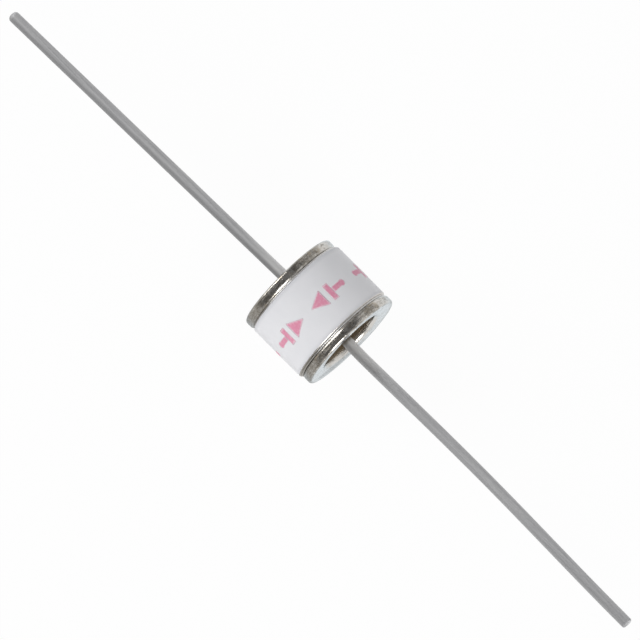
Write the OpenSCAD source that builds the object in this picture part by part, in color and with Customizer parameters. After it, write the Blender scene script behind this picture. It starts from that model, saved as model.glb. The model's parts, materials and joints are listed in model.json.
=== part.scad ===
// Gas discharge tube: a surge arrester with two electrodes and axial wire leads.
// A short ceramic tube is closed at each end by a drawn metal cup that is brazed to it. The noses of
// the cups face each other across a spark gap in the sealed chamber, and a lead is welded to the
// floor of each cup. Units are millimetres. The axis of the tube is X, from end A to end B, the
// origin is the middle of the tube, and Z is up.

/* [Ceramic tube] */
// Outside diameter of the ceramic tube
tube_d = 8; // [6:0.1:12]
// Length of the ceramic tube between its end faces
tube_len = 4.5; // [3.6:0.1:9]
// Wall of the ceramic tube
tube_wall = 0.9; // [0.6:0.05:1.4]
// Rounding of the tube's edges
tube_edge = 0.12; // [0.03:0.01:0.25]

/* [Electrodes] */
// Thickness of the flange that closes the tube
flange_t = 0.77; // [0.5:0.01:1.5]
// How far the rim of the flange stands inside the tube's outside
flange_inset = 0.07; // [0:0.005:0.15]
// Rounding of the rim of the flange at its end face
flange_edge = 0.18; // [0.05:0.01:0.3]
// Rounding of the rim of the flange on the side of the tube
flange_back = 0.28; // [0.05:0.01:0.35]
// How far the end face is dished, from its rim down to the lip of the cup
face_dish = 0.1; // [0:0.01:0.2]
// Clearance between the root of the cup and the bore of the tube
cup_clearance = 0.3; // [0.15:0.05:0.6]
// Wall of the cup
cup_wall = 0.4; // [0.25:0.05:0.7]
// Thickness of the floor of the cup
cup_floor = 0.45; // [0.3:0.05:0.8]
// Draft of the sides of the cup, in degrees
cup_draft = 4; // [1:0.5:10]
// Rounding of the lip at the mouth of the cup
lip_round = 0.3; // [0.05:0.01:0.4]
// Rounding between the side and the floor inside the cup
floor_round = 0.35; // [0.05:0.01:0.5]
// Rounding of the nose that faces the spark gap
nose_round = 0.4; // [0.1:0.01:0.6]
// Fillet between the cup and the inner face of the flange
root_round = 0.15; // [0.05:0.01:0.25]
// Spark gap between the two noses
spark_gap = 0.7; // [0.4:0.05:1.4]

/* [Activation coats] */
// Thickness of the coat, which fills a recess in the nose
coat_t = 0.1; // [0.05:0.01:0.2]
// Width of the bare flat rim round the coat
coat_rim = 0.3; // [0.1:0.05:0.6]

/* [Braze rings] */
// Thickness of the braze between the tube and the flange
braze_t = 0.08; // [0.04:0.01:0.15]
// Diameter of the bead's section at the outside of the joint
bead_d = 0.18; // [0.16:0.01:0.3]
// How far the top of the bead lies below the tube's outside
bead_depth = 0.12; // [0:0.01:0.2]
// How far the braze stops short of the bore
braze_setback = 0.1; // [0.05:0.01:0.2]

/* [Ignition strips] */
// Number of graphite strips along the bore
strip_count = 4; // [1:1:6]
// Width of a strip round the bore
strip_w = 0.3; // [0.15:0.05:0.6]
// Thickness of a strip
strip_t = 0.05; // [0.03:0.01:0.1]
// Bare length of bore between a strip and the end of the tube
strip_margin = 0.75; // [0.4:0.05:1.2]

/* [Leads] */
// Diameter of the wire
lead_d = 0.8; // [0.5:0.05:1.2]
// Length of lead A outside the flange, along the tube's axis
lead_a_free = 26.2; // [4:0.1:40]
// Length of lead B outside the flange, along the tube's axis
lead_b_free = 26.8; // [4:0.1:40]
// Lean of lead A to -Y, in degrees
lead_a_lean = 1.25; // [-3:0.05:3]
// Lean of lead B to -Y, in degrees
lead_b_lean = 0; // [-3:0.05:3]
// Offset of lead A's weld to +Y from the tube's axis
lead_a_offset = 0.07; // [-0.3:0.01:0.3]
// Offset of lead B's weld to +Y from the tube's axis
lead_b_offset = -0.05; // [-0.3:0.01:0.3]
// Rounding of the tip of lead A
lead_a_tip = 0.3; // [0.02:0.01:0.35]
// Rounding of the tip of lead B
lead_b_tip = 0.16; // [0.02:0.01:0.35]
// How far the upset weld foot stands out round the wire
foot_proud = 0.35; // [0.1:0.05:0.6]
// Height of the rim of the weld foot
foot_h = 0.12; // [0.06:0.01:0.3]
// Rounding of the rim of the weld foot
foot_edge = 0.05; // [0.02:0.01:0.1]
// Hollow fillet from the weld foot up to the wire
foot_fillet = 0.25; // [0.05:0.01:0.3]

/* [Hidden] */
$fn = 96;
// Straight steps along a rounded corner of a profile
arc_steps = 8;
// Largest share of a wall that the rounding of its two edges may each take
edge_share = 0.45;
// Overlap of a cutting solid past what it cuts
cut_over = 1;

tube_r = tube_d / 2;
bore_r = tube_r - tube_wall;
tube_end = tube_len / 2;

flange_r = tube_r - flange_inset;
flange_in = tube_end + braze_t;
flange_out = flange_in + flange_t;
lip_x = flange_out - face_dish;
face_round = min(flange_edge, edge_share * flange_t);
back_round = min(flange_back, edge_share * flange_t);
nose_x = spark_gap / 2;
floor_x = nose_x + cup_floor;

coat_r = cup_side(nose_x) - nose_round - coat_rim;
bead_r = bead_d / 2;
bead_at = tube_r - bead_depth - bead_r;
strip_angle = strip_w / bore_r * 180 / PI;
lead_r = lead_d / 2;
foot_r = lead_r + foot_proud;
foot_hollow = min(foot_fillet, foot_proud - 2 * foot_edge);

STRIPS = [for (i = [1 : strip_count]) str("ignition_strip_", i)];

// Radius of the outside of the cup at a distance x from the middle of the tube
function cup_side(x) = bore_r - cup_clearance - (flange_in - x) * tan(cup_draft);

function unit(v) = v / norm(v);

// Points of the arc that rounds one corner, met on the way from one neighbour to the next
function corner_arc(before, corner, after, radius) =
    let (
        back = unit(before - corner),
        ahead = unit(after - corner),
        half_angle = acos(back * ahead) / 2,
        centre = corner + unit(back + ahead) * radius / sin(half_angle),
        start = corner + back * radius / tan(half_angle) - centre,
        first = atan2(start[1], start[0]),
        turn = sign(cross(ahead, back)) * (180 - 2 * half_angle)
    )
    [for (k = [0 : arc_steps]) let (a = first + turn * k / arc_steps) centre + radius * [cos(a), sin(a)]];

// Outline from corners given as [x, y, rounding], where a rounding of 0 is a sharp corner
function outline(corners) =
    let (n = len(corners), points = [for (c = corners) [c[0], c[1]]])
    [
        for (i = [0 : n - 1])
            each corners[i][2] > 0
                ? corner_arc(points[(i + n - 1) % n], points[i], points[(i + 1) % n], corners[i][2])
                : [points[i]]
    ];

// A profile of radius and distance from the middle of the tube, turned about the X axis
module turned() {
    rotate([0, 90, 0]) rotate_extrude() children();
}

// End A is end B seen in a mirror across the middle of the tube
module at_end_a() {
    mirror([1, 0, 0]) children();
}

module tube_section() {
    polygon(outline([
        [bore_r, -tube_end, tube_edge],
        [tube_r, -tube_end, tube_edge],
        [tube_r, tube_end, tube_edge],
        [bore_r, tube_end, tube_edge]
    ]));
}

// The cup from the recess in its nose, out over the side and the flange, and back in to its floor
module electrode_section() {
    polygon(outline([
        [0, nose_x + coat_t, 0],
        [coat_r, nose_x + coat_t, 0],
        [coat_r, nose_x, 0],
        [cup_side(nose_x), nose_x, nose_round],
        [cup_side(flange_in), flange_in, root_round],
        [flange_r, flange_in, back_round],
        [flange_r, flange_out, face_round],
        [cup_side(lip_x) - cup_wall, lip_x, lip_round],
        [cup_side(floor_x) - cup_wall, floor_x, floor_round],
        [0, floor_x, 0]
    ]));
}

// A flat washer of braze with a round bead in the groove between the tube and the rim. It reaches
// as far as the bead on the flange's side, so that it fills the wedge under the rounded rim.
module braze_section() {
    joint = (tube_end + flange_in) / 2;
    difference() {
        union() {
            translate([bore_r + braze_setback, tube_end])
                square([bead_at - bore_r - braze_setback, braze_t / 2 + bead_r]);
            translate([bead_at, joint]) circle(r = bead_r);
        }
        tube_section();
        electrode_section();
    }
}

// The wire stands on its weld foot, and the foot is cut flat by the floor of the cup
module lead(free, lean, offset, tip) {
    sunk = foot_r * tan(abs(lean)) + foot_edge;
    length = (flange_out + free - floor_x) / cos(lean);
    block = foot_r + cut_over;
    translate([floor_x, offset, 0])
        difference() {
            rotate([0, 0, -lean])
                turned()
                    polygon(outline([
                        [0, -sunk, 0],
                        [foot_r, -sunk, 0],
                        [foot_r, foot_h, foot_edge],
                        [lead_r, foot_h, foot_hollow],
                        [lead_r, length, tip],
                        [0, length, 0]
                    ]));
            translate([-2 * block, -block, -block]) cube(2 * block);
        }
}

module ceramic_tube() {
    color([0.90, 0.90, 0.92]) turned() tube_section();
}

module electrode() {
    color([0.72, 0.70, 0.67]) turned() electrode_section();
}

module braze_ring() {
    color([0.82, 0.81, 0.78]) turned() braze_section();
}

module activation_coat() {
    color([0.46, 0.43, 0.37]) turned() translate([0, nose_x]) square([coat_r, coat_t]);
}

module ignition_strip(i) {
    start = 360 * (i - 0.5) / strip_count - strip_angle / 2;
    color([0.18, 0.18, 0.19])
        rotate([0, 90, 0])
            rotate([0, 0, start])
                rotate_extrude(angle = strip_angle)
                    translate([bore_r - strip_t, strip_margin - tube_end])
                        square([strip_t, tube_len - 2 * strip_margin]);
}

module lead_a() {
    color([0.66, 0.66, 0.67]) at_end_a() lead(lead_a_free, lead_a_lean, lead_a_offset, lead_a_tip);
}

module lead_b() {
    color([0.66, 0.66, 0.67]) lead(lead_b_free, lead_b_lean, lead_b_offset, lead_b_tip);
}

ceramic_tube();
at_end_a() electrode();  // electrode_a
electrode();  // electrode_b
at_end_a() braze_ring();  // braze_ring_a
braze_ring();  // braze_ring_b
at_end_a() activation_coat();  // activation_coat_a
activation_coat();  // activation_coat_b
for (i = [1 : strip_count])
    ignition_strip(i);
lead_a();
lead_b();
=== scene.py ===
"""Looks of a gas discharge tube: a ceramic surge arrester with flanged metal cups and two axial leads.

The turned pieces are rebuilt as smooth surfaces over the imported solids, with their finishes, a printed mark
and a small studio. Sizes are metres in the frame of the solids: X runs along the tube from lead A to lead B,
the origin is the middle of the tube and Z is up.
"""

import json

import bpy
import numpy as np
from bpy.props import FloatProperty, FloatVectorProperty, IntProperty, PointerProperty
from mathutils import Matrix, Quaternion, Vector


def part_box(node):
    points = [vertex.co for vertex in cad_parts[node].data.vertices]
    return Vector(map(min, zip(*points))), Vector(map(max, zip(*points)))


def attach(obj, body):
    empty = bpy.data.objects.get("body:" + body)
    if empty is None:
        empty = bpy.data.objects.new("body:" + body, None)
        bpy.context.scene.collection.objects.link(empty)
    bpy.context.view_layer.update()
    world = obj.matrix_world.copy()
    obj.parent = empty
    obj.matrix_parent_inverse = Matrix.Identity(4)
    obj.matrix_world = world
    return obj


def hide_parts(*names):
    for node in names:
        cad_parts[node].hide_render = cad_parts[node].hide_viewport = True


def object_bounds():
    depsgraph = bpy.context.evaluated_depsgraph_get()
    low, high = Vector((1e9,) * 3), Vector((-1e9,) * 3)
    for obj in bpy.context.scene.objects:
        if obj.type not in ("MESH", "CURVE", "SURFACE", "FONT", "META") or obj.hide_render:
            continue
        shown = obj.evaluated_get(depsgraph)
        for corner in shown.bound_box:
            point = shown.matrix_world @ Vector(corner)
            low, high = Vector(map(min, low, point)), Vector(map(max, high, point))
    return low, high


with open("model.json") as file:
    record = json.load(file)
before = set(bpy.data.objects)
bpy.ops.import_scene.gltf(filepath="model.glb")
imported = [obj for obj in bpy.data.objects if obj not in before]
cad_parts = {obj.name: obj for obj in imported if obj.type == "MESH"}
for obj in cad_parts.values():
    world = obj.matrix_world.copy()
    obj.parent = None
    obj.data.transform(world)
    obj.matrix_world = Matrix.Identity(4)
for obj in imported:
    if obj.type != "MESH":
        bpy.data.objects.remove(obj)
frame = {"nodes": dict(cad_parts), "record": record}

bl_info = {
    "name": "Gas discharge tube",
    "version": (1, 0, 0),
    "blender": (4, 5, 0),
    "location": "3D View > Sidebar > Discharge tube",
    "description": "Builds the looks of a gas discharge tube round its packed solids",
    "category": "Object",
}

MM = 0.001
BODY = "root"
CAD_BOX = [list(corner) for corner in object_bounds()]
IMAGE_PIXELS = 640.0

TUBE_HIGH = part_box("ceramic_tube")[1]
CUP_LOW, CUP_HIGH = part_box("electrode_b")
BRAZE_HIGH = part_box("braze_ring_b")[1]
MOUNTS = {mount["name"]: mount for mount in frame["record"]["mounts"]}
ENDS = {"a": -1.0, "b": 1.0}
LEAD_TIPS = {"a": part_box("lead_a")[0].x, "b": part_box("lead_b")[1].x}

# Height, waves round the circle and first seed of the ripples on the rims, the braze beads and the wires
RIM_RIPPLE, RIM_WAVES, RIM_SEED = 0.004 * MM, (2, 3, 5, 9, 14, 23), 40
BEAD_WAVER, BEAD_WAVES, BEAD_SEED = 0.006 * MM, (1, 2, 4, 7, 13, 21, 34), 60
GROOVE_DEPTH, GROOVE_WAVES, GROOVE_SEED = 0.0012 * MM, (3, 7, 11, 17, 23, 31), 80

# A profile point this close to the axis is a pole
POLE_RADIUS = 1e-9
# Rings of an ink field from its middle to its edge, and the share of the way out that its underside reaches
INK_RINGS, INK_UNDERSIDE = 9, 0.6
# Sockets of the Mix node that take and give colours
MIX_TINTS, MIX_RESULT = (6, 7), 2
# How strongly the side of each lead towards -Y is darkened by painted shade
SHADED_SIDES = {"a": 0.9, "b": 0.5}
# Heading from the tube, width and height in metres and turn in degrees of each softbox
SOFTBOXES = {
    "key": ((-0.74, -0.44, 0.51), (0.11, 0.26), 50.0),
    "fill": ((0.38, 0.74, 0.56), (0.36, 0.26), 0.0),
    "front": ((0.81, -0.36, 0.46), (0.13, 0.20), 0.0),
}


def length(name, description, default):
    """A size in metres."""
    return FloatProperty(
        name=name, description=description, default=default, min=0.0, precision=6,
        subtype="DISTANCE", unit="LENGTH",
    )


def turn_angle(name, description, degrees):
    """An angle, given in degrees."""
    return FloatProperty(
        name=name, description=description, default=np.radians(degrees), subtype="ANGLE", unit="ROTATION",
    )


def colour(name, description, default):
    """A surface colour in linear light."""
    return FloatVectorProperty(
        name=name, description=description, default=default, size=3, min=0.0, max=1.0, subtype="COLOR",
    )


def level(name, description, default):
    """A brightness, where 1 is white."""
    return FloatProperty(name=name, description=description, default=default, min=0.0)


class BodySizes(bpy.types.PropertyGroup):
    """Sizes of the ceramic tube, the electrodes and the braze rings."""

    tube_radius: length("Tube radius", "Outside radius of the ceramic tube", TUBE_HIGH.z)
    tube_end: length("Tube end", "Distance from the middle of the tube to its end face", TUBE_HIGH.x)
    tube_wall: length("Tube wall", "Wall of the ceramic tube", 0.9 * MM)
    tube_edge: length("Tube edge", "Rounding of the edges of the tube", 0.12 * MM)
    flange_radius: length("Flange radius", "Radius of the rim of the flange", CUP_HIGH.z)
    flange_face: length("Flange face", "Distance from the middle of the tube to the end face", CUP_HIGH.x)
    flange_thickness: length("Flange thickness", "Thickness of the flange", 0.77 * MM)
    flange_edge: length("Flange edge", "Rounding of the rim of the flange at its end face", 0.18 * MM)
    flange_back: length("Flange back", "Rounding of the rim of the flange on the side of the tube", 0.28 * MM)
    face_dish: length("Face dish", "How far the end face is dished towards the lip of the cup", 0.1 * MM)
    off_centre: length("Off centre", "How far electrode A sits to -Y and electrode B to +Y", 0.07 * MM)
    cup_clearance: length("Cup clearance", "Space between the root of the cup and the bore", 0.3 * MM)
    cup_wall: length("Cup wall", "Wall of the cup", 0.4 * MM)
    cup_floor: length("Cup floor", "Thickness of the floor of the cup", 0.45 * MM)
    cup_draft: turn_angle("Cup draft", "Slope of the sides of the cup", 4.0)
    lip_round: length("Lip rounding", "Rounding of the lip at the mouth of the cup", 0.3 * MM)
    floor_round: length("Floor rounding", "Rounding between the side and the floor of the cup", 0.35 * MM)
    nose_round: length("Nose rounding", "Rounding of the nose that faces the spark gap", 0.4 * MM)
    root_round: length("Root rounding", "Fillet between the cup and the flange", 0.15 * MM)
    nose: length("Nose", "Distance from the middle of the tube to the nose of a cup", CUP_LOW.x)
    coat_depth: length("Coat depth", "Depth of the recess in the nose", 0.1 * MM)
    coat_rim: length("Coat rim", "Width of the bare rim round the recess", 0.3 * MM)
    bead_round: length("Bead radius", "Radius of the braze bead's section", 0.09 * MM)
    braze_setback: length("Braze setback", "How far the braze stops short of the bore", 0.1 * MM)
    braze_radius: length("Braze radius", "Outside radius of the braze bead", BRAZE_HIGH.z)


class LeadSizes(bpy.types.PropertyGroup):
    """Sizes of the wires and their weld feet."""

    foot_proud: length("Foot proud", "How far the weld foot stands out round the wire", 0.35 * MM)
    foot_height: length("Foot height", "Height of the rim of the weld foot", 0.12 * MM)
    foot_edge: length("Foot edge", "Rounding of the rim of the weld foot", 0.05 * MM)
    foot_fillet: length("Foot fillet", "Hollow fillet from the weld foot up to the wire", 0.25 * MM)
    bow: length("Bow", "How far the middle of lead B bows to +Y", 0.08 * MM)
    bow_middle: length("Bow middle", "Distance of the top of the bow from the middle of the tube", 15.3 * MM)
    bow_wave: length("Bow wave", "Length of the wave that the bow is part of", 28.0 * MM)
    tip_a: length("Tip of lead A", "Rounding of the tip of lead A", 0.3 * MM)
    tip_b: length("Tip of lead B", "Rounding of the tip of lead B", 0.16 * MM)


class PrintSizes(bpy.types.PropertyGroup):
    """Sizes of the printed mark: a spark gap drawn as two arrowheads, two plates and two lines."""

    repeats: IntProperty(
        name="Repeats", description="How often the mark is printed round the tube", default=3, min=1,
    )
    start: turn_angle("Start", "Angle of the middle of the first mark from the top, towards +Y", -17.8)
    span: length("Span", "Length of a mark round the tube", 7.2 * MM)
    arrow: length("Arrowhead", "Length of an arrowhead", 1.3 * MM)
    spark: length("Spark spacing", "Distance of an arrowhead from the middle and from its plate", 0.36 * MM)
    centre: length("Centre", "Place of the mark along the tube's axis", 0.1 * MM)
    height: length("Height", "Height of the mark along the tube's axis", 1.35 * MM)
    stroke: length("Stroke", "Width of a printed line", 0.42 * MM)
    ink_thickness: length("Ink thickness", "Thickness of the ink film", 0.008 * MM)


class FinishColours(bpy.types.PropertyGroup):
    """Colours of the finishes."""

    ceramic: colour("Ceramic", "Fired alumina", (0.80, 0.80, 0.825))
    ceramic_shade: colour("Ceramic shade", "Cloudy patches in the alumina", (0.785, 0.787, 0.813))
    # Painted shade: greyer alumina near the metal stands in for light that the translucent ceramic loses to
    # it
    ceramic_end_shade: colour("Ceramic end", "Greyer alumina close to the metal", (0.65, 0.655, 0.685))
    metal_film: colour("Metal film", "Film of metal on the edge of the tube at end B", (0.62, 0.60, 0.57))
    ink: colour("Ink", "Stamped ink", (0.74, 0.275, 0.40))
    ink_thin: colour("Thin ink", "Ink where the film is thin", (0.78, 0.40, 0.51))
    ink_edge: colour("Ink edge", "Faint ink along the edge of a field", (0.79, 0.60, 0.67))
    nickel: colour("Nickel", "Plated flange and cup", (0.655, 0.63, 0.595))
    nickel_stain: colour("Nickel stain", "Dull patches in the plating", (0.54, 0.51, 0.465))
    # Also the painted shade on the rims, the braze and the metal film towards -Y, and round the cup's mouth
    # on the low side
    nickel_grime_and_shade: colour("Nickel smoke", "Soot and tarnish on the plating and the braze", (0.22, 0.20, 0.17))
    heat_tint: colour("Heat tint", "Brown tint left by the weld inside the cup", (0.33, 0.265, 0.18))
    braze: colour("Braze", "Silver braze of the seal", (0.70, 0.69, 0.68))
    tin: colour("Tin", "Tinned wire", (0.63, 0.63, 0.635))
    tin_shade: colour("Tin shade", "Draw lines in the tinned wire", (0.52, 0.52, 0.53))
    # Painted light: lighter tin on the wire near the body, where the tube shadows it
    tin_painted_light: colour("Fresh tin", "Tin that the heat of the weld has made bright again", (0.86, 0.86, 0.86))
    # Painted shade on the side of the wire towards -Y
    tin_shaded_side: colour("Dull tin", "Dull side of the tinned wire", (0.37, 0.37, 0.375))
    # Painted shadow: brown, darker tin on the wire inside the cup, under its lip
    tin_cup_shadow: colour("Burnt tin", "Tin that the weld has browned, inside the cup", (0.30, 0.275, 0.23))
    graphite: colour("Graphite", "Ignition strips", (0.035, 0.035, 0.038))
    coat: colour("Coat", "Activation coat of the electrodes", (0.20, 0.175, 0.14))
    floor: colour("Floor", "Studio floor", (0.86, 0.86, 0.86))


class StageSettings(bpy.types.PropertyGroup):
    """View and light of the studio."""

    azimuth: turn_angle("Azimuth", "Heading of the camera", 45.67)
    elevation: turn_angle("Elevation", "Height of the camera above the horizon", 78.65)
    lens: FloatProperty(name="Lens", description="Focal length in millimetres", default=1000.0, min=1.0)
    view_width: length("View width", "Width of the view at the tube", 43.27 * MM)
    body_x: FloatProperty(name="Body X", description="Image column of the middle of the tube", default=319.26)
    body_y: FloatProperty(name="Body Y", description="Image row of the middle of the tube", default=311.83)
    front_wall: level("Front wall", "Brightness of the studio wall towards -Y", 0.09)
    back_wall: level("Back wall", "Brightness of the studio wall towards +Y", 0.62)
    ceiling: level("Ceiling", "Brightness of the dark ceiling", 0.17)
    softbox_distance: length("Softbox distance", "Distance of the softboxes from the tube", 0.3)
    key: level("Key", "Brightness of the softbox on the left", 6.6)
    fill: level("Fill", "Brightness of the softbox on the right", 0.42)
    front: level("Front", "Brightness of the softbox in front", 6.6)
    floor_reach: length("Floor reach", "Half the width of the floor", 1.5)
    floor_drop: length("Floor drop", "How far the floor lies below the tube", 0.01 * MM)
    floor_glow: FloatProperty(
        name="Floor glow", description="Share of the floor that shows as even white",
        default=0.96, min=0.0, max=1.0, subtype="FACTOR",
    )


def unit(vectors):
    """Vectors of length 1 along the last axis."""
    return vectors / np.linalg.norm(vectors, axis=-1, keepdims=True)


def rounded_profile(corners, step, closed=False, arc_points=12):
    """Polyline through corners of (x, radius, rounding).

    A rounding replaces its corner by the arc that is tangent to both sides. Each straight stretch between two
    arcs is cut into equal parts no longer than step.
    """
    corners = np.array(corners, float)
    points, rounding = corners[:, :2], corners[:, 2]
    back = unit(np.roll(points, 1, axis=0) - points)
    ahead = unit(np.roll(points, -1, axis=0) - points)
    half = np.arccos(np.clip((back * ahead).sum(1), -1.0, 1.0)) / 2.0
    reach = (rounding / np.tan(half))[:, None]
    centre = points + unit(back + ahead) * (rounding / np.sin(half))[:, None]
    first, last = points + back * reach, points + ahead * reach
    if not closed:
        first[0] = last[0] = points[0]
        first[-1] = last[-1] = points[-1]
    line = []
    for i in range(len(points)):
        if rounding[i] > 0.0:
            a = np.arctan2(*(first[i] - centre[i])[::-1])
            b = np.arctan2(*(last[i] - centre[i])[::-1])
            turn = (b - a + np.pi) % (2.0 * np.pi) - np.pi
            angles = a + turn * np.linspace(0.0, 1.0, arc_points)
            line.append(centre[i] + rounding[i] * np.stack([np.cos(angles), np.sin(angles)], axis=1))
        else:
            line.append(points[i:i + 1])
        if closed or i < len(points) - 1:
            goal = first[(i + 1) % len(points)]
            parts = max(int(np.ceil(np.linalg.norm(goal - last[i]) / step)), 1)
            line.append(last[i] + (goal - last[i]) * (np.arange(1, parts) / parts)[:, None])
    return np.concatenate(line)


def ripple(angle, waves, seed):
    """Even ripple round a circle, about 1 high: a sum of cosines of the wave numbers with seeded phases."""
    rng = np.random.default_rng(seed)
    waves = np.asarray(waves)
    phases = rng.uniform(0.0, 2.0 * np.pi, len(waves))
    heights = rng.uniform(0.5, 1.0, len(waves))
    return (heights * np.cos(angle[..., None] * waves + phases)).sum(-1) / np.sqrt(len(waves))


def ring_faces(index):
    """Quads between each row of vertex numbers and the next, where a row runs once round and closes."""
    beside = np.roll(index, -1, axis=1)
    return np.stack([index[:-1], index[1:], beside[1:], beside[:-1]], axis=-1).reshape(-1, 4)


def turned(profile, turns, closed=False, swell=None):
    """Surface of revolution about X: the point (x, r) of the profile at the angle t is (x, r cos t, r sin t).

    swell(x, r, t) is added to r. A closed profile joins its last ring to its first, and an end on the axis
    becomes one pole. Returns the vertices and the faces, with the faces pointing out.
    """
    angle = np.arange(turns) * (2.0 * np.pi / turns)
    x, r, t = np.broadcast_arrays(profile[:, :1], profile[:, 1:], angle[None, :])
    if swell is not None:
        r = r + swell(x, r, t) * (r > POLE_RADIUS)
    grid = np.stack([x, r * np.cos(t), r * np.sin(t)], axis=-1)
    count = len(profile)
    index = np.arange(count * turns).reshape(count, turns)
    if closed:
        index = np.concatenate([index, index[:1]])
    poles = profile[:, 1] < POLE_RADIUS
    index[:count][poles] = index[:count][poles][:, :1]
    return outward(grid.reshape(-1, 3), ring_faces(index))


def outward(vertices, faces):
    """Keeps the vertices that faces use, and turns the faces so that the volume they enclose is positive."""
    used, where = np.unique(faces, return_inverse=True)
    vertices, faces = vertices[used], where.reshape(faces.shape)
    a, b, c, d = (vertices[faces[:, i]] for i in range(4))
    volume = (a * np.cross(b, c)).sum() + (a * np.cross(c, d)).sum()
    return vertices, faces if volume > 0.0 else faces[:, ::-1]


def mirrored(vertices, faces):
    """The same surface at end A: x changes sign, so the faces run the other way round."""
    return vertices * (-1.0, 1.0, 1.0), faces[:, ::-1]


def make_piece(name, vertices, faces, finish, slot, *nodes, share=None):
    """A smooth mesh object at the origin that rides on the body and stands for the given CAD nodes.

    A quad at a pole has one corner twice and becomes a triangle. share is a value per vertex that the finish
    may read as the attribute of that name.
    """
    repeated = faces == np.roll(faces, 1, axis=1)
    at_pole = repeated.any(axis=1)
    triangles = faces[at_pole][~repeated[at_pole]].reshape(-1, 3)
    mesh = bpy.data.meshes.new(name)
    mesh.from_pydata(vertices, [], faces[~at_pole].tolist() + triangles.tolist())
    mesh.materials.append(finish)
    mesh.shade_smooth()
    if share is not None:
        mesh.attributes.new("share", "FLOAT", "POINT").data.foreach_set("value", share)
    if mesh.validate(verbose=True):
        raise RuntimeError(f"{name} has faces that Blender had to mend")
    piece = bpy.data.objects.new(name, mesh)
    bpy.context.scene.collection.objects.link(piece)
    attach(piece, BODY)
    if nodes:
        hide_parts(*nodes)
    return piece


class Finish:
    """A node material on object coordinates, built up by small calls."""

    def __init__(self, name):
        self.material = bpy.data.materials.new(name)
        self.material.use_nodes = True
        self.tree = self.material.node_tree
        self.shader = self.tree.nodes["Principled BSDF"]
        self.place = self.add("ShaderNodeTexCoord").outputs["Object"]
        self.split = self.add("ShaderNodeSeparateXYZ", {"Vector": self.place}).outputs

    def add(self, kind, inputs=(), **settings):
        """Adds a node. An input is a value, or a socket to link from."""
        node = self.tree.nodes.new(kind)
        for key, value in settings.items():
            setattr(node, key, value)
        for key, value in dict(inputs).items():
            self.put(node.inputs[key], value)
        return node

    def put(self, socket, value):
        """Sets a socket to a value or links it to another socket."""
        if isinstance(value, bpy.types.NodeSocket):
            self.tree.links.new(value, socket)
        else:
            socket.default_value = value

    def set(self, **inputs):
        """Sets inputs of the shader, named with _ for a space."""
        for key, value in inputs.items():
            self.put(self.shader.inputs[key.replace("_", " ")], value)

    def math(self, operation, value, *others):
        """The value after one arithmetic step with each of the others, or after one step by itself."""
        for other in others or (0.0,):
            value = self.add("ShaderNodeMath", {0: value, 1: other}, operation=operation).outputs[0]
        return value

    def times(self, *values):
        """The product of the values."""
        return self.math("MULTIPLY", *values)

    def noise(self, size, detail=3.0, rough=0.5, place=None):
        """Noise from 0 to 1 whose patches are about size metres wide."""
        inputs = {"Vector": place or self.place, "Scale": 1.0 / size, "Detail": detail, "Roughness": rough}
        return self.add("ShaderNodeTexNoise", inputs).outputs["Fac"]

    def ramp(self, value, start, full, off=0.0, on=1.0):
        """Smooth step from off, where the value is start, to on, where it is full. It stays level beyond."""
        inputs = {"Value": value, "From Min": start, "From Max": full, "To Min": off, "To Max": on}
        return self.add("ShaderNodeMapRange", inputs, interpolation_type="SMOOTHSTEP").outputs["Result"]

    def patches(self, size, start, full, **kind):
        """Patches about size metres wide: noise up to start is none, and noise from full on is whole."""
        return self.ramp(self.noise(size, **kind), start, full)

    def scaled(self, scale, turn=0.0):
        """Object coordinates scaled along the axes and then turned about Z."""
        inputs = {"Vector": self.place, "Scale": scale, "Rotation": (0.0, 0.0, turn)}
        return self.add("ShaderNodeMapping", inputs).outputs["Vector"]

    def mix(self, share, a, b):
        """Colour a where the share is 0 and b where it is 1."""
        node = self.add("ShaderNodeMix", {0: share}, data_type="RGBA")
        for key, tint in zip(MIX_TINTS, (a, b)):
            self.put(node.inputs[key], tint if isinstance(tint, bpy.types.NodeSocket) else (*tint, 1.0))
        return node.outputs[MIX_RESULT]

    def layers(self, tint, *coats):
        """A colour with coats of (share, colour) laid on it one after another."""
        for share, coat in coats:
            tint = self.mix(share, tint, coat)
        return tint

    def bump(self, height, depth, below=None):
        """Normal of a relief whose height of 0 to 1 stands for depth in metres."""
        inputs = {"Height": height, "Distance": depth, "Strength": 1.0}
        if below is not None:
            inputs["Normal"] = below
        return self.add("ShaderNodeBump", inputs).outputs["Normal"]

    def axis_parts(self):
        """Distance along the tube from its middle, and distance from its axis."""
        along = self.math("ABSOLUTE", self.split["X"])
        squares = [self.math("POWER", self.split[letter], 2.0) for letter in "YZ"]
        return along, self.math("SQRT", self.math("ADD", *squares))

    def ring_place(self, along, radius):
        """Coordinates for streaks round the axis: they change fast along the profile and slowly round it."""
        slow = self.scaled((0.0, 0.1, 0.1))
        fast = self.add("ShaderNodeCombineXYZ", {"X": self.math("ADD", along, radius)}).outputs["Vector"]
        return self.add("ShaderNodeVectorMath", {0: slow, 1: fast}, operation="ADD").outputs["Vector"]

    def side_shade_share(self):
        """Share of painted shade on the braze and on the film beside it, towards -Y."""
        return self.ramp(self.split["Y"], start=-1.8 * MM, full=-3.0 * MM, on=0.8)


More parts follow.
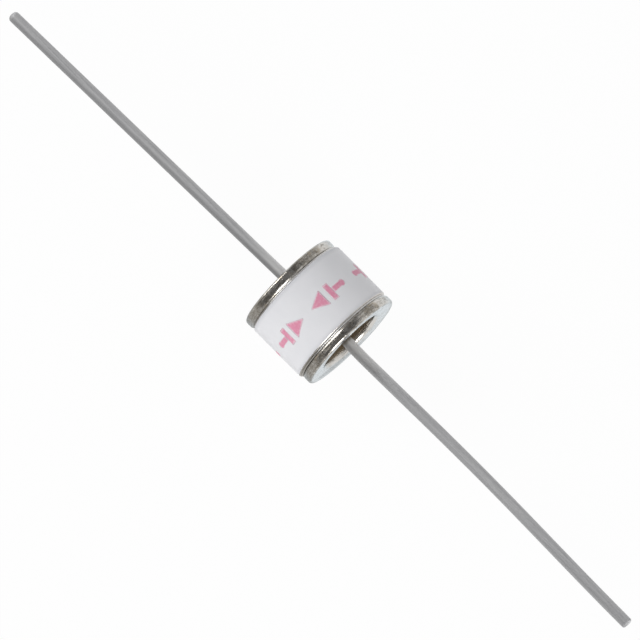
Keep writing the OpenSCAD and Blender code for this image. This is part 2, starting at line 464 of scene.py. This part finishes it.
def ceramic_finish(colours, sizes):
    """Fired alumina: matt white with faint clouds and a fine grain, greyer close to the metal as painted
    shade for the light that the translucent alumina loses there.

    A ragged film of metal covers the edge at end B, with painted shade on the side towards -Y.
    """
    finish = Finish("fired_alumina")
    along, _ = finish.axis_parts()
    end = sizes.tube_end
    grain = finish.noise(size=0.07 * MM, detail=4.0, rough=0.6)
    clouds = finish.patches(size=1.3 * MM, start=0.35, full=0.65)
    # Painted shade: the alumina turns greyer over its last 0.4 mm towards the metal
    painted_end_shade = finish.ramp(along, start=end - 0.40 * MM, full=end)
    bare = finish.layers(colours.ceramic, (clouds, colours.ceramic_shade), (painted_end_shade, colours.ceramic_end_shade))
    waver = finish.times(finish.noise(size=0.25 * MM), 0.06 * MM)
    ragged = finish.math("ADD", finish.split["X"], waver)
    film = finish.ramp(ragged, start=end - 0.07 * MM, full=end - 0.03 * MM)
    # Painted shade: the metal film darkens towards -Y
    metal = finish.mix(finish.side_shade_share(), colours.metal_film, colours.nickel_grime_and_shade)
    matt = finish.ramp(grain, start=0.3, full=0.7, off=0.42, on=0.58)
    finish.set(
        Base_Color=finish.mix(film, bare, metal),
        Metallic=film,
        Roughness=finish.math("SUBTRACT", matt, finish.times(film, 0.15)),
        IOR=1.6,
        Normal=finish.bump(grain, depth=0.004 * MM),
    )
    return finish.material


def ink_finish(colours):
    """Stamped ink: a pink film, thinner and paler in small patches, which fades out along its edges."""
    finish = Finish("stamped_ink")
    thin = finish.patches(size=0.16 * MM, start=0.42, full=0.72, detail=5.0, rough=0.65)
    share = finish.add("ShaderNodeAttribute", attribute_name="share").outputs["Fac"]
    ragged = finish.math("ADD", share, finish.times(thin, 0.1))
    faded = finish.ramp(ragged, start=0.68, full=1.02)
    finish.set(
        Base_Color=finish.layers(colours.ink, (thin, colours.ink_thin), (faded, colours.ink_edge)),
        Roughness=finish.ramp(thin, start=0.0, full=1.0, off=0.45, on=0.6),
        Normal=finish.bump(thin, depth=0.003 * MM),
    )
    return finish.material


def rim_grime_and_shade(finish, sizes, streaks, wide, rim):
    """Grime and painted shade on the rims: painted shade towards -Y in cloudy patches that follow the
    streaks, and grime towards +Y.

    Returns the painted shade alone, and both together, which a fine grit breaks up.
    """
    # Painted shade: the rims darken towards -Y, in patches that follow the streaks
    side = finish.times(finish.split["Y"], -0.8 / sizes.flange_radius)
    cloudy = finish.math("ADD", finish.noise(size=1.1 * MM, detail=5.0, rough=0.6), side)
    shade_patches = finish.ramp(cloudy, start=0.64, full=1.12)
    side_shade = finish.times(shade_patches, finish.ramp(streaks, start=0.3, full=0.58, off=0.7), rim)
    beside = finish.math("ABSOLUTE", finish.math("SUBTRACT", finish.split["Y"], 1.4 * MM))
    near = finish.ramp(beside, start=1.5 * MM, full=0.6 * MM)
    grime = finish.patches(size=0.5 * MM, start=0.40, full=0.58, detail=5.0, rough=0.7, place=wide)
    grime = finish.times(grime, near, 0.85, rim)
    grit = finish.noise(size=0.11 * MM, detail=4.0, rough=0.7)
    broken = finish.ramp(grit, start=0.46, full=0.62, off=1.0, on=0.35)
    return side_shade, finish.times(finish.math("MAXIMUM", side_shade, grime), broken)


def lip_painted_shade(finish, radius, mouth, stain):
    """Painted shade on the end face: a band round the cup's mouth, on its low side and uneven like the stain.
    """
    low_y = finish.times(finish.split["Y"], -0.40)
    low_z = finish.times(finish.split["Z"], -0.92)
    low = finish.ramp(finish.math("ADD", low_y, low_z), start=2.1 * MM, full=2.9 * MM)
    off_band = finish.math("ABSOLUTE", finish.math("SUBTRACT", radius, mouth + 0.65 * MM))
    band = finish.ramp(off_band, start=0.60 * MM, full=0.25 * MM)
    uneven = finish.ramp(stain, start=0.0, full=1.0, off=0.6, on=0.8)
    return finish.times(low, uneven, band)


def nickel_finish(colours, sizes):
    """Nickel plate: streaks round the axis and dull stains, with specks, mottle, grime, painted shade towards
    -Y and burns on the rims.

    The end face has painted shade below the mouth of the cup, and the inside of the cup has a brown tint.
    """
    finish = Finish("nickel_plate")
    along, radius = finish.axis_parts()
    face, flange = sizes.flange_face, sizes.flange_radius
    mouth = sizes.tube_radius - sizes.tube_wall - sizes.cup_clearance - sizes.cup_wall
    rings = finish.ring_place(along, radius)
    wide = finish.scaled((1.0, 0.5, 0.5))
    rim = finish.ramp(radius, start=0.91 * flange, full=0.975 * flange)
    streaks = finish.noise(size=0.09 * MM, rough=0.6, place=rings)
    stain = finish.patches(size=0.4 * MM, start=0.46, full=0.72, detail=5.0, rough=0.65)
    scuffs = finish.ramp(streaks, start=0.45, full=0.65)
    specks = finish.patches(size=0.09 * MM, start=0.64, full=0.78, detail=2.0)
    mottle = finish.patches(size=0.17 * MM, start=0.45, full=0.66, detail=5.0, rough=0.7, place=wide)
    burns = finish.patches(size=0.55 * MM, start=0.54, full=0.68, detail=4.0)
    side_shade, grime_and_shade = rim_grime_and_shade(finish, sizes, streaks, wide, rim)
    deep = finish.ramp(along, start=face - 0.22 * MM, full=face - 0.6 * MM)
    inside = finish.times(deep, finish.ramp(radius, start=mouth + 0.3 * MM, full=mouth))
    plate = finish.layers(
        colours.nickel,
        (stain, colours.nickel_stain),
        (finish.times(scuffs, rim), colours.nickel_stain),
        (finish.times(specks, rim), colours.nickel_grime_and_shade),
        (finish.times(mottle, 0.85, rim), colours.nickel_grime_and_shade),
        # Grime towards +Y, and painted shade towards -Y
        (grime_and_shade, colours.nickel_grime_and_shade),
        (finish.times(burns, rim, 0.45), colours.heat_tint),
        # Painted shade round the cup's mouth, darker towards -Y and -Z
        (lip_painted_shade(finish, radius, mouth, stain), colours.nickel_grime_and_shade),
        (inside, colours.heat_tint),
    )
    outside = finish.math("SUBTRACT", 1.0, inside)
    waves = finish.noise(size=0.30 * MM, detail=2.0, place=rings)
    dents = finish.noise(size=0.22 * MM, detail=4.0, rough=0.6)
    relief = finish.bump(streaks, depth=0.012 * MM)
    relief = finish.bump(waves, finish.times(outside, 0.05 * MM), relief)
    relief = finish.bump(dents, finish.times(outside, 0.012 * MM), relief)
    gloss = finish.ramp(stain, start=0.0, full=1.0, off=0.18, on=0.34)
    finish.set(
        Base_Color=plate,
        Metallic=1.0,
        Roughness=finish.math("ADD", gloss, finish.times(side_shade, 0.2), finish.times(inside, 0.15)),
        Specular_Tint=(0.87, 0.94, 1.0, 1.0),
        Normal=relief,
    )
    return finish.material


def braze_finish(colours):
    """Silver braze that has flowed and set: soft lumps with dull patches, and painted shade towards -Y."""
    finish = Finish("silver_braze")
    lumps = finish.noise(size=0.12 * MM)
    darker = finish.ramp(lumps, start=0.5, full=0.75)
    # Painted shade: the braze darkens towards -Y
    side_shade = finish.side_shade_share()
    finish.set(
        Base_Color=finish.layers(colours.braze, (darker, colours.nickel_stain), (side_shade, colours.nickel_grime_and_shade)),
        Metallic=0.8,
        Roughness=finish.ramp(lumps, start=0.3, full=0.7, off=0.35, on=0.5),
        Normal=finish.bump(lumps, depth=0.012 * MM),
    )
    return finish.material


def tin_finish(name, colours, turn, offset, deepest_shade, mouth):
    """Satin tin on a drawn wire: lines along it, dull patches and painted shade on the side towards -Y.

    It has painted light near the weld, where the tube shadows the wire, and a brown painted shadow inside the
    cup. turn takes the lean out of the coordinates, and offset is the place of the wire's middle in them.
    """
    finish = Finish(name)
    along, _ = finish.axis_parts()
    straight = finish.scaled((1.0, 1.0, 1.0), turn)
    across = finish.add("ShaderNodeSeparateXYZ", {"Vector": straight}).outputs["Y"]
    drawn = finish.scaled((1.0 / 60.0, 1.0, 1.0), turn)
    lines = finish.noise(size=0.06 * MM, rough=0.6, place=drawn)
    rubbed = finish.scaled((1.0 / 4.0, 1.0, 1.0), turn)
    patches = finish.noise(size=0.25 * MM, detail=4.0, rough=0.6, place=rubbed)
    ragged = finish.math("ADD", along, finish.times(patches, 0.4 * MM))
    shade = finish.ramp(lines, start=0.4, full=0.7)
    # Painted light: the wire is lighter over the 6 mm next to the weld, where the tube shadows it
    painted_light = finish.ramp(along, start=mouth + 6.0 * MM, full=mouth)
    # Painted shade: the side of the wire towards -Y is darker
    darker = finish.ramp(across, start=offset - 0.03 * MM, full=offset - 0.30 * MM, on=deepest_shade)
    # Painted shadow: the wire is darker and brown inside the cup, under its lip
    painted_cup_shadow = finish.ramp(ragged, start=mouth + 0.14 * MM, full=mouth - 0.2 * MM)
    tin = finish.layers(
        colours.tin,
        (shade, colours.tin_shade),
        (painted_light, colours.tin_painted_light),
        (darker, colours.tin_shaded_side),
        (painted_cup_shadow, colours.tin_cup_shadow),
    )
    lengthwise = finish.add("ShaderNodeCombineXYZ", {"X": np.cos(turn), "Y": -np.sin(turn)})
    finish.set(
        Base_Color=tin,
        Metallic=1.0,
        Roughness=finish.ramp(patches, start=0.3, full=0.7, off=0.72, on=0.82),
        Anisotropic=0.3,
        Anisotropic_Rotation=0.25,
        Tangent=lengthwise.outputs["Vector"],
        Normal=finish.bump(patches, 0.004 * MM, finish.bump(lines, depth=0.006 * MM)),
    )
    return finish.material


def powder_finish(name, tint, lighter, grain_size):
    """Dry powder or pencil-like deposit: matt, with a loose grain."""
    finish = Finish(name)
    grain = finish.noise(grain_size, detail=5.0, rough=0.7)
    finish.set(
        Base_Color=finish.mix(finish.ramp(grain, start=0.35, full=0.7), tint, lighter),
        Roughness=finish.ramp(grain, start=0.3, full=0.7, off=0.7, on=0.95),
        Normal=finish.bump(grain, depth=0.2 * grain_size),
    )
    return finish.material


class PieceOperator:
    """What the operators that build pieces share."""

    bl_options = {"REGISTER", "UNDO"}


class GDT_OT_ceramic_tube(PieceOperator, bpy.types.Operator):
    """Turn the ceramic tube: a rectangle with four rounded corners, carried round the axis"""

    bl_idname = "gdt.ceramic_tube"
    bl_label = "Ceramic tube"

    def execute(self, context):
        sizes = context.scene.gdt_body
        outer, end, edge = sizes.tube_radius, sizes.tube_end, sizes.tube_edge
        bore = outer - sizes.tube_wall
        corners = [(-end, bore, edge), (-end, outer, edge), (end, outer, edge), (end, bore, edge)]
        profile = rounded_profile(corners, step=0.15 * MM, closed=True)
        surface = turned(profile, turns=256, closed=True)
        finish = ceramic_finish(context.scene.gdt_colours, sizes)
        make_piece("ceramic_body", *surface, finish, "ceramic", "ceramic_tube")
        return {"FINISHED"}


class GDT_OT_print_marks(PieceOperator, bpy.types.Operator):
    """Print the spark gap mark round the tube: each field is its outline drawn in to its middle"""

    bl_idname = "gdt.print_marks"
    bl_label = "Printed marks"

    def execute(self, context):
        radius, marks = context.scene.gdt_body.tube_radius, context.scene.gdt_print
        surfaces = [
            self.film(outline, radius, marks.ink_thickness)
            for turn in range(marks.repeats)
            for outline in self.outlines(marks, radius, marks.start + turn * 2.0 * np.pi / marks.repeats)
        ]
        vertices, faces, share = zip(*surfaces)
        starts = np.cumsum([0] + [len(each) for each in vertices])
        faces = np.concatenate([each + start for each, start in zip(faces, starts)])
        finish = ink_finish(context.scene.gdt_colours)
        make_piece(
            "print_marks", np.concatenate(vertices), faces, finish, "print_ink", share=np.concatenate(share),
        )
        return {"FINISHED"}

    @staticmethod
    def outlines(marks, radius, angle):
        """Outlines of one mark as (place along the axis, arc length round the tube), from its middle out."""
        half, stroke = marks.height / 2.0, marks.stroke
        soft = 0.15 * stroke
        apex, base = marks.spark, marks.spark + marks.arrow
        plate = base + marks.spark
        tail, end = plate + stroke, marks.span / 2.0
        dot = 0.62 * stroke
        bend = 0.99 * dot
        fields = [
            [(-half, base, soft), (0.0, apex, soft), (half, base, soft)],
            [(-half, plate, soft), (half, plate, soft), (half, tail, soft), (-half, tail, soft)],
            [(-stroke / 2, tail, soft), (stroke / 2, tail, soft),
             (stroke / 2, end - dot, soft), (-stroke / 2, end - dot, soft)],
            [(-dot, end, bend), (dot, end, bend), (dot, end - 2 * dot, bend), (-dot, end - 2 * dot, bend)],
        ]
        for corners in fields:
            line = rounded_profile(corners, step=0.08 * MM, closed=True, arc_points=6)
            for side in (1.0, -1.0):
                yield line * (1.0, side) + (marks.centre, angle * radius)

    @staticmethod
    def film(outline, radius, thickness):
        """Ink film on the tube, from its middle ring by ring to the outline and back below.

        The ring at the share q of the way to the outline is raised by thickness times the root of 1 - q^6, so
        that the edge is round. The underside closes inside the ceramic. Returns the vertices, the faces and
        the share of each vertex, which is 0 below.
        """
        share = np.linspace(0.0, 1.0, INK_RINGS)
        way_out = np.concatenate([share, (INK_UNDERSIDE, 0.0)])
        height = thickness * np.concatenate([np.sqrt(1.0 - share ** 6), (-1.0, -1.0)])
        middle = outline.mean(0)
        flat = middle + way_out[:, None, None] * (outline - middle)
        arc, r = flat[..., 1] / radius, radius + height[:, None]
        grid = np.stack([flat[..., 0], r * np.sin(arc), r * np.cos(arc)], axis=-1)
        rings, count = arc.shape
        index = np.arange(rings * count).reshape(rings, count)
        index[[0, -1]] = index[[0, -1], :1]
        vertices, faces = outward(grid.reshape(-1, 3), ring_faces(index))
        between = np.concatenate([share[1:], (0.0,)])
        return vertices, faces, np.concatenate([(0.0,), np.repeat(between, count), (0.0,)])


class GDT_OT_electrodes(PieceOperator, bpy.types.Operator):
    """Turn the two electrodes: the section of a flanged cup, carried round the axis with a slight ripple"""

    bl_idname = "gdt.electrodes"
    bl_label = "Electrodes"

    def execute(self, context):
        sizes = context.scene.gdt_body
        finish = nickel_finish(context.scene.gdt_colours, sizes)
        profile = self.section(sizes)
        for seed, (end, sign) in enumerate(ENDS.items(), RIM_SEED):
            vertices, faces = turned(profile, turns=320, swell=self.swell(sizes.flange_radius, seed))
            if sign < 0.0:
                vertices, faces = mirrored(vertices, faces)
            vertices[:, 1] += sign * sizes.off_centre
            make_piece(f"electrode_cup_{end}", vertices, faces, finish, "nickel_plate", f"electrode_{end}")
        return {"FINISHED"}

    @staticmethod
    def section(sizes):
        """From the recess in the nose, out over the side and the flange, and in to the floor of the cup."""
        inner = sizes.flange_face - sizes.flange_thickness
        lip = sizes.flange_face - sizes.face_dish
        floor = sizes.nose + sizes.cup_floor
        recess = sizes.nose + sizes.coat_depth
        root = sizes.tube_radius - sizes.tube_wall - sizes.cup_clearance

        def side(x):
            return root - (inner - x) * np.tan(sizes.cup_draft)

        coat = side(sizes.nose) - sizes.nose_round - sizes.coat_rim
        small = 0.2 * sizes.coat_depth
        corners = [
            (recess, 0.0, 0.0),
            (recess, coat, small),
            (sizes.nose, coat, small),
            (sizes.nose, side(sizes.nose), sizes.nose_round),
            (inner, side(inner), sizes.root_round),
            (inner, sizes.flange_radius, sizes.flange_back),
            (sizes.flange_face, sizes.flange_radius, sizes.flange_edge),
            (lip, side(lip) - sizes.cup_wall, sizes.lip_round),
            (floor, side(floor) - sizes.cup_wall, sizes.floor_round),
            (floor, 0.0, 0.0),
        ]
        return rounded_profile(corners, step=0.1 * MM)

    @staticmethod
    def swell(flange, seed):
        """Ripple of the rim: a few micrometres that fade out inwards over a tenth of the flange's radius."""
        def ripple_at(x, r, t):
            near = np.clip((r - 0.9 * flange) / (0.1 * flange), 0.0, 1.0)
            return RIM_RIPPLE * near * ripple(t, RIM_WAVES, seed)

        return ripple_at


class GDT_OT_braze_rings(PieceOperator, bpy.types.Operator):
    """Turn the two braze rings: a flat washer with a round bead at its outside that wavers round the joint"""

    bl_idname = "gdt.braze_rings"
    bl_label = "Braze rings"

    def execute(self, context):
        sizes = context.scene.gdt_body
        finish = braze_finish(context.scene.gdt_colours)
        profile = self.section(sizes)
        for seed, (end, sign) in enumerate(ENDS.items(), BEAD_SEED):
            swell = self.swell(sizes.braze_radius, sizes.bead_round, seed)
            surface = turned(profile, turns=320, closed=True, swell=swell)
            surface = surface if sign > 0.0 else mirrored(*surface)
            make_piece(f"braze_bead_{end}", *surface, finish, "braze", f"braze_ring_{end}")
        return {"FINISHED"}

    @staticmethod
    def section(sizes):
        """From the bore along the ceramic to the bead, over it, and down the wedge under the rim again."""
        inner = sizes.flange_face - sizes.flange_thickness
        joint, half = (sizes.tube_end + inner) / 2.0, (inner - sizes.tube_end) / 2.0
        bead, outer = sizes.bead_round, sizes.braze_radius
        bore = sizes.tube_radius - sizes.tube_wall + sizes.braze_setback
        neck = outer - bead - np.sqrt(bead ** 2 - half ** 2)
        wedge = sizes.flange_radius - sizes.flange_back
        small, bend = 0.3 * half, 0.98 * bead
        corners = [
            (joint - half, bore, small),
            (joint - half, neck, small),
            (joint - bead, neck, 0.5 * bead),
            (joint - bead, outer, bend),
            (joint + bead, outer, bend),
            (joint + bead, neck, small),
            (joint + half, wedge, small),
            (joint + half, bore, small),
        ]
        return rounded_profile(corners, step=0.08 * MM, closed=True, arc_points=8)

    @staticmethod
    def swell(outer, bead, seed):
        """Waver of the bead: its outside rises and falls by some micrometres round the joint."""
        def waver(x, r, t):
            near = np.clip((r - outer + bead) / bead, 0.0, 1.0)
            return BEAD_WAVER * near * (ripple(t, BEAD_WAVES, seed) - 1.0)

        return waver


class GDT_OT_leads(PieceOperator, bpy.types.Operator):
    """Turn the two leads: a wire on its weld foot, carried round the leaning axis that its mount gives"""

    bl_idname = "gdt.leads"
    bl_label = "Leads"

    def execute(self, context):
        body, sizes, colours = context.scene.gdt_body, context.scene.gdt_leads, context.scene.gdt_colours
        floor, mouth = body.nose + body.cup_floor, body.flange_face
        for end, sign in ENDS.items():
            mount = MOUNTS[f"lead_{end}"]
            axis, point = np.array(mount["axis"]), np.array(mount["pos_m"])
            radius = mount["dims"]["r_mm"] * MM
            start = point + axis * (sign * floor - point[0]) / axis[0]
            reach = (LEAD_TIPS[end] - start[0]) / axis[0]
            profile = self.section(sizes, radius, reach, getattr(sizes, f"tip_{end}"))
            vertices, faces = turned(profile, turns=96, swell=self.draw_lines(radius))
            across = np.array((-axis[1], axis[0], 0.0))
            up = np.array((0.0, 0.0, 1.0))
            vertices = start + vertices @ np.stack([axis, across, up])
            vertices[:, 0] = sign * np.maximum(sign * vertices[:, 0], floor)
            if end == "b":
                vertices[:, 1] += self.bow(sizes, mouth, vertices[:, 0])
            lean = np.arctan2(sign * axis[1], sign * axis[0])
            offset = (start[1] - np.tan(lean) * start[0]) * np.cos(lean)
            finish = tin_finish(f"tinned_wire_{end}", colours, -lean, offset, SHADED_SIDES[end], mouth)
            make_piece(f"wire_{end}", vertices, faces, finish, "tinned_wire", f"lead_{end}")
        return {"FINISHED"}

    @staticmethod
    def section(sizes, radius, reach, tip):
        """From the underside of the weld foot, over its rim and fillet, along the wire and over its tip."""
        foot = radius + sizes.foot_proud
        corners = [
            (-sizes.foot_edge, 0.0, 0.0),
            (-sizes.foot_edge, foot, 0.2 * sizes.foot_edge),
            (sizes.foot_height, foot, sizes.foot_edge),
            (sizes.foot_height, radius, sizes.foot_fillet),
            (reach, radius, tip),
            (reach, 0.0, 0.0),
        ]
        return rounded_profile(corners, step=0.2 * MM)

    @staticmethod
    def bow(sizes, mouth, x):
        """Gentle bow: a cosine wave along X that fades in on the way out of the cup."""
        share = np.clip(x / mouth - 0.5, 0.0, 1.0)
        wave = np.cos(2.0 * np.pi * (x - sizes.bow_middle) / sizes.bow_wave)
        return sizes.bow * wave * share ** 2 * (3.0 - 2.0 * share)

    @staticmethod
    def draw_lines(radius):
        """Fine grooves along the wire: the radius varies with the angle alone, by about a micrometre."""
        def grooves(x, r, t):
            return GROOVE_DEPTH * (r / radius).clip(0.0, 1.0) * ripple(t, GROOVE_WAVES, GROOVE_SEED)

        return grooves


class GDT_OT_inner_pieces(PieceOperator, bpy.types.Operator):
    """Give the sealed inner pieces, which keep their solids, their own finishes"""

    bl_idname = "gdt.inner_pieces"
    bl_label = "Inner pieces"

    def execute(self, context):
        colours = context.scene.gdt_colours
        coat = powder_finish("activation_coat", colours.coat, colours.nickel_stain, grain_size=0.08 * MM)
        graphite = powder_finish("graphite", colours.graphite, colours.coat, grain_size=0.04 * MM)
        for name, piece in frame["nodes"].items():
            finish = {"activation": coat, "ignition": graphite}.get(name.split("_")[0])
            if finish is not None:
                piece.data.materials.clear()
                piece.data.materials.append(finish)
        return {"FINISHED"}


class GDT_OT_stage(bpy.types.Operator):
    """Set up the studio: a white floor under the tube, soft walls, three softboxes and the camera"""

    bl_idname = "gdt.stage"
    bl_label = "Studio"

    def execute(self, context):
        scene, stage = context.scene, context.scene.gdt_stage
        self.floor(scene, stage)
        self.walls(scene, stage)
        for name, placing in SOFTBOXES.items():
            self.softbox(scene, f"{name}_softbox", getattr(stage, name), stage.softbox_distance, *placing)
        self.camera(scene, stage)
        scene.view_settings.view_transform = "Standard"
        return {"FINISHED"}

    @staticmethod
    def floor(scene, stage):
        """Pale floor just under the tube. Part of it shows as even white, and the rest takes the shadow."""
        reach, height = stage.floor_reach, CAD_BOX[0][2] - stage.floor_drop
        corners = [(x * reach, y * reach, height) for x, y in ((-1, -1), (1, -1), (1, 1), (-1, 1))]
        mesh = bpy.data.meshes.new("studio_floor")
        mesh.from_pydata(corners, [], [(0, 1, 2, 3)])
        finish = Finish("studio_floor")
        finish.set(Base_Color=(*scene.gdt_colours.floor, 1.0), Roughness=0.9, Specular_IOR_Level=0.0)
        path = finish.add("ShaderNodeLightPath").outputs
        kinds = ("Is Camera Ray", "Is Glossy Ray", "Is Transmission Ray")
        seen = finish.math("MAXIMUM", *(path[kind] for kind in kinds))
        glow = finish.add("ShaderNodeEmission", {"Color": (1.0, 1.0, 1.0, 1.0), "Strength": 1.0})
        blend = finish.add("ShaderNodeMixShader", {
            0: finish.times(seen, stage.floor_glow),
            1: finish.shader.outputs["BSDF"],
            2: glow.outputs["Emission"],
        })
        output = finish.tree.nodes["Material Output"]
        finish.tree.links.new(blend.outputs["Shader"], output.inputs["Surface"])
        mesh.materials.append(finish.material)
        plane = bpy.data.objects.new("studio_floor", mesh)
        scene.collection.objects.link(plane)

    @staticmethod
    def walls(scene, stage):
        """Studio walls under a dark ceiling, fading from the front wall to the back wall."""
        world = bpy.data.worlds.new("studio_walls")
        world.use_nodes = True
        tree = world.node_tree
        heading = tree.nodes.new("ShaderNodeSeparateXYZ")
        tree.links.new(tree.nodes.new("ShaderNodeTexCoord").outputs["Generated"], heading.inputs["Vector"])
        wall, ramp = (tree.nodes.new("ShaderNodeMapRange") for _ in range(2))
        sides = {"From Min": -0.7, "From Max": 0.7, "To Min": stage.front_wall, "To Max": stage.back_wall}
        rise = {"From Min": 0.15, "From Max": 0.95, "To Max": stage.ceiling}
        for node, source, values in ((wall, "Y", sides), (ramp, "Z", rise)):
            node.interpolation_type = "SMOOTHSTEP"
            tree.links.new(heading.outputs[source], node.inputs["Value"])
            for key, value in values.items():
                node.inputs[key].default_value = value
        tree.links.new(wall.outputs["Result"], ramp.inputs["To Min"])
        background = tree.nodes["Background"]
        background.inputs["Color"].default_value = (1.0, 1.0, 1.0, 1.0)
        tree.links.new(ramp.outputs["Result"], background.inputs["Strength"])
        scene.world = world

    @staticmethod
    def softbox(scene, name, brightness, distance, heading, size, turn):
        """Area lamp that faces the tube, turned about its own axis by so many degrees.

        Its power gives its face the brightness, where 1 is white.
        """
        lamp = bpy.data.lights.new(name, "AREA")
        lamp.shape = "RECTANGLE"
        lamp.size, lamp.size_y = size
        lamp.energy = brightness * np.pi * size[0] * size[1]
        heading = Vector(heading).normalized()
        spin = Quaternion((0.0, 0.0, 1.0), np.radians(turn))
        box = bpy.data.objects.new(name, lamp)
        box.location = heading * distance
        box.rotation_euler = (heading.to_track_quat("Z", "Y") @ spin).to_euler()
        scene.collection.objects.link(box)

    @staticmethod
    def camera(scene, stage):
        """Long lens at the photograph's angle. The tube's middle falls on its pixel of the square image."""
        ca, sa = np.cos(stage.azimuth), np.sin(stage.azimuth)
        ce, se = np.cos(stage.elevation), np.sin(stage.elevation)
        right = Vector((ca, sa, 0.0))
        up = Vector((-se * sa, se * ca, ce))
        back = Vector((sa * ce, -ca * ce, se))
        data = bpy.data.cameras.new("camera")
        data.lens = stage.lens
        distance = stage.lens / data.sensor_width * stage.view_width
        pixel = stage.view_width / IMAGE_PIXELS
        middle = IMAGE_PIXELS / 2.0
        aim = right * ((middle - stage.body_x) * pixel) - up * ((middle - stage.body_y) * pixel)
        camera = bpy.data.objects.new("camera", data)
        turn = Matrix((right, up, back)).transposed()
        camera.matrix_world = Matrix.Translation(aim + back * distance) @ turn.to_4x4()
        scene.collection.objects.link(camera)
        scene.camera = camera


class GDT_PT_panel(bpy.types.Panel):
    """Sidebar panel with the pieces, their sizes and their colours"""

    bl_idname = "GDT_PT_panel"
    bl_label = "Gas discharge tube"
    bl_space_type = "VIEW_3D"
    bl_region_type = "UI"
    bl_category = "Discharge tube"

    def draw(self, context):
        for operator in OPERATORS:
            self.layout.operator(operator.bl_idname)
        for name, group in GROUPS.items():
            box = self.layout.box()
            settings = getattr(context.scene, name)
            for key in group.__annotations__:
                box.prop(settings, key)


OPERATORS = (
    GDT_OT_ceramic_tube, GDT_OT_print_marks, GDT_OT_electrodes, GDT_OT_braze_rings, GDT_OT_leads,
    GDT_OT_inner_pieces, GDT_OT_stage,
)
GROUPS = {
    "gdt_body": BodySizes, "gdt_leads": LeadSizes, "gdt_print": PrintSizes,
    "gdt_colours": FinishColours, "gdt_stage": StageSettings,
}


def register():
    """Registers the settings, the operators and the panel."""
    for part in (*GROUPS.values(), *OPERATORS, GDT_PT_panel):
        bpy.utils.register_class(part)
    for name, group in GROUPS.items():
        setattr(bpy.types.Scene, name, PointerProperty(type=group))


def unregister():
    """Takes everything out again, in the other order."""
    for name in GROUPS:
        delattr(bpy.types.Scene, name)
    for part in reversed((*GROUPS.values(), *OPERATORS, GDT_PT_panel)):
        bpy.utils.unregister_class(part)


def main():
    """Builds the pieces and the studio."""
    register()
    bpy.ops.gdt.ceramic_tube()
    bpy.ops.gdt.print_marks()
    bpy.ops.gdt.electrodes()
    bpy.ops.gdt.braze_rings()
    bpy.ops.gdt.leads()
    bpy.ops.gdt.inner_pieces()
    bpy.ops.gdt.stage()


if __name__ == "__main__":
    main()
